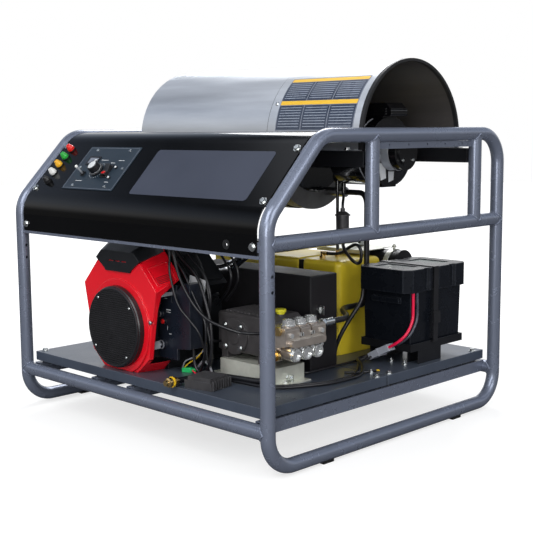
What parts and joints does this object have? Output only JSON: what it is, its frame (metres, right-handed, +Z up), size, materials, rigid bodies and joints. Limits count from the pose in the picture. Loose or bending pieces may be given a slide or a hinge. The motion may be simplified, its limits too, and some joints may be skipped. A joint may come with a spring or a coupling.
{
  "type": "pressure washer",
  "caption": "Skid mounted hot water pressure washer: bent tube frame, engine, belt driven triplex pump, coil drum with burner under an arched hood, fuel tank, battery and sloped control panel.",
  "frame": {"origin": "on the ground under the middle of the frame, at the bottom centre of the box round it", "axes": "+X to the right seen from the control panel, +Y to the rear, +Z up"},
  "size_m": [1.096, 1.029, 1.0456],
  "materials": {
    "frame_grey": "satin powder coat",
    "black_metal": "satin powder coat",
    "panel_black": "gloss powder coat",
    "plate_blue": "satin print",
    "rubber_black": "matte",
    "zinc": "zinc plated",
    "stainless": "brushed",
    "drum_grey": "heat resistant matte",
    "coil_steel": "plain",
    "burner_black": "gloss",
    "fan_metal": "as cast",
    "filter_grey": "satin",
    "tank_yellow": "moulded",
    "black_plastic": "moulded",
    "brass": "machined",
    "engine_metal": "black paint",
    "shroud_red": "gloss",
    "lever_grey": "plain",
    "exhaust_black": "heat resistant",
    "pump_grey": "cast, painted",
    "head_nickel": "nickel plated",
    "sheave_iron": "machined",
    "oil_yellow": "moulded",
    "connector_grey": "moulded",
    "nozzle_red": "moulded",
    "nozzle_green": "moulded",
    "nozzle_yellow": "moulded",
    "nozzle_white": "moulded",
    "nozzle_black": "moulded"
  },
  "bodies": {
    "frame": {"side_frame_left": "frame_grey", "side_frame_right": "frame_grey", "rails_and_posts": "frame_grey", "cross_rails": "frame_grey", "strips_and_tabs": "frame_grey", "deck_front": "frame_grey", "deck_rear": "frame_grey", "crossmembers": "black_metal", "belt_guard": "black_metal", "battery_tray": "black_metal", "control_panel": "panel_black", "control_plate": "plate_blue", "rubber_parts": "rubber_black", "hoses": "rubber_black", "drive_belts": "rubber_black", "bolts": "zinc", "mounting_brackets": "zinc", "hood_left": "stainless", "hood_right": "stainless", "coil_drum": "drum_grey", "heating_coil": "coil_steel", "burner_housing": "burner_black", "burner_motor": "burner_black", "igniter_box": "burner_black", "fuel_pump": "burner_black", "hold_down_straps": "burner_black", "fuel_filter": "filter_grey", "fuel_tank": "tank_yellow", "instruments": "black_plastic", "air_cleaner": "black_plastic", "shroud_cap": "black_plastic", "engine_control_box": "black_plastic", "battery_box": "black_plastic", "battery_lid": "black_plastic", "battery": "black_plastic", "intake_screen": "black_plastic", "brass_fittings": "brass", "engine_block": "engine_metal", "regulator": "engine_metal", "fan_shroud": "shroud_red", "exhaust": "exhaust_black", "pump_crankcase": "pump_grey", "pump_head": "head_nickel", "battery_connector": "connector_grey"},
    "engine_rotor": {"crankshaft": "coil_steel", "flywheel_fan": "fan_metal"},
    "pump_rotor": {"pump_pulley": "sheave_iron"},
    "blower_fan": {"burner_fan": "fan_metal"},
    "knob": {"thermostat_knob": "black_plastic"},
    "rocker": {"burner_rocker": "black_plastic"},
    "toggle": {"toggle_lever": "lever_grey"},
    "key": {"ignition_key": "black_plastic"},
    "choke": {"choke_lever": "lever_grey"},
    "oil_cap_body": {"oil_cap": "oil_yellow"},
    "tank_cap_body": {"tank_cap": "black_plastic"},
    "nozzle_red_body": {"nozzle_red": "nozzle_red"},
    "nozzle_green_body": {"nozzle_green": "nozzle_green"},
    "nozzle_yellow_body": {"nozzle_yellow": "nozzle_yellow"},
    "nozzle_white_body": {"nozzle_white": "nozzle_white"},
    "nozzle_black_body": {"nozzle_black": "nozzle_black"}
  },
  "joints": [
    {"name": "engine_spin", "type": "hinge", "parent": "frame", "child": "engine_rotor", "pos_m": [-0.11, -0.05, 0.297], "axis": [0, 1, 0], "continuous": true},
    {"name": "pump_spin", "type": "hinge", "parent": "frame", "child": "pump_rotor", "pos_m": [0.19, -0.05, 0.284], "axis": [0, 1, 0], "continuous": true},
    {"name": "fan_spin", "type": "hinge", "parent": "frame", "child": "blower_fan", "pos_m": [0.36, 0.1365, 0.787], "axis": [1, 0, 0], "continuous": true},
    {"name": "knob_turn", "type": "hinge", "parent": "frame", "child": "knob", "pos_m": [-0.243, -0.41732, 0.73617], "axis": [0, -0.7193, 0.6947], "range_deg": [-270, 0]},
    {"name": "rocker_tilt", "type": "hinge", "parent": "frame", "child": "rocker", "pos_m": [-0.196, -0.4173, 0.73475], "axis": [1, 0, 0], "range_deg": [-12, 12]},
    {"name": "toggle_tilt", "type": "hinge", "parent": "frame", "child": "toggle", "pos_m": [-0.3, -0.42705, 0.7261], "axis": [1, 0, 0], "range_deg": [-15, 15]},
    {"name": "key_turn", "type": "hinge", "parent": "frame", "child": "key", "pos_m": [0.008, -0.385, 0.252], "axis": [0, 1, 0], "range_deg": [0, 90]},
    {"name": "choke_swing", "type": "hinge", "parent": "frame", "child": "choke", "pos_m": [0.046, -0.369, 0.4], "axis": [1, 0, 0], "range_deg": [0, 30]},
    {"name": "oil_cap_turn", "type": "hinge", "parent": "frame", "child": "oil_cap_body", "pos_m": [0.3, -0.2115, 0.36], "axis": [0, 0, 1], "continuous": true},
    {"name": "tank_cap_turn", "type": "hinge", "parent": "frame", "child": "tank_cap_body", "pos_m": [-0.24, 0.2085, 0.47], "axis": [0, 0, 1], "continuous": true},
    {"name": "nozzle_black_pull", "type": "slide", "parent": "frame", "child": "nozzle_black_body", "axis": [0, -0.7193, 0.6947], "range_m": [0, 0.045]},
    {"name": "nozzle_white_pull", "type": "slide", "parent": "frame", "child": "nozzle_white_body", "axis": [0, -0.7193, 0.6947], "range_m": [0, 0.045]},
    {"name": "nozzle_yellow_pull", "type": "slide", "parent": "frame", "child": "nozzle_yellow_body", "axis": [0, -0.7193, 0.6947], "range_m": [0, 0.045]},
    {"name": "nozzle_green_pull", "type": "slide", "parent": "frame", "child": "nozzle_green_body", "axis": [0, -0.7193, 0.6947], "range_m": [0, 0.045]},
    {"name": "nozzle_red_pull", "type": "slide", "parent": "frame", "child": "nozzle_red_body", "axis": [0, -0.7193, 0.6947], "range_m": [0, 0.045]}
  ],
  "couplings": [
    {"joint": "pump_spin", "follows": "engine_spin", "ratio": 0.44231}
  ]
}
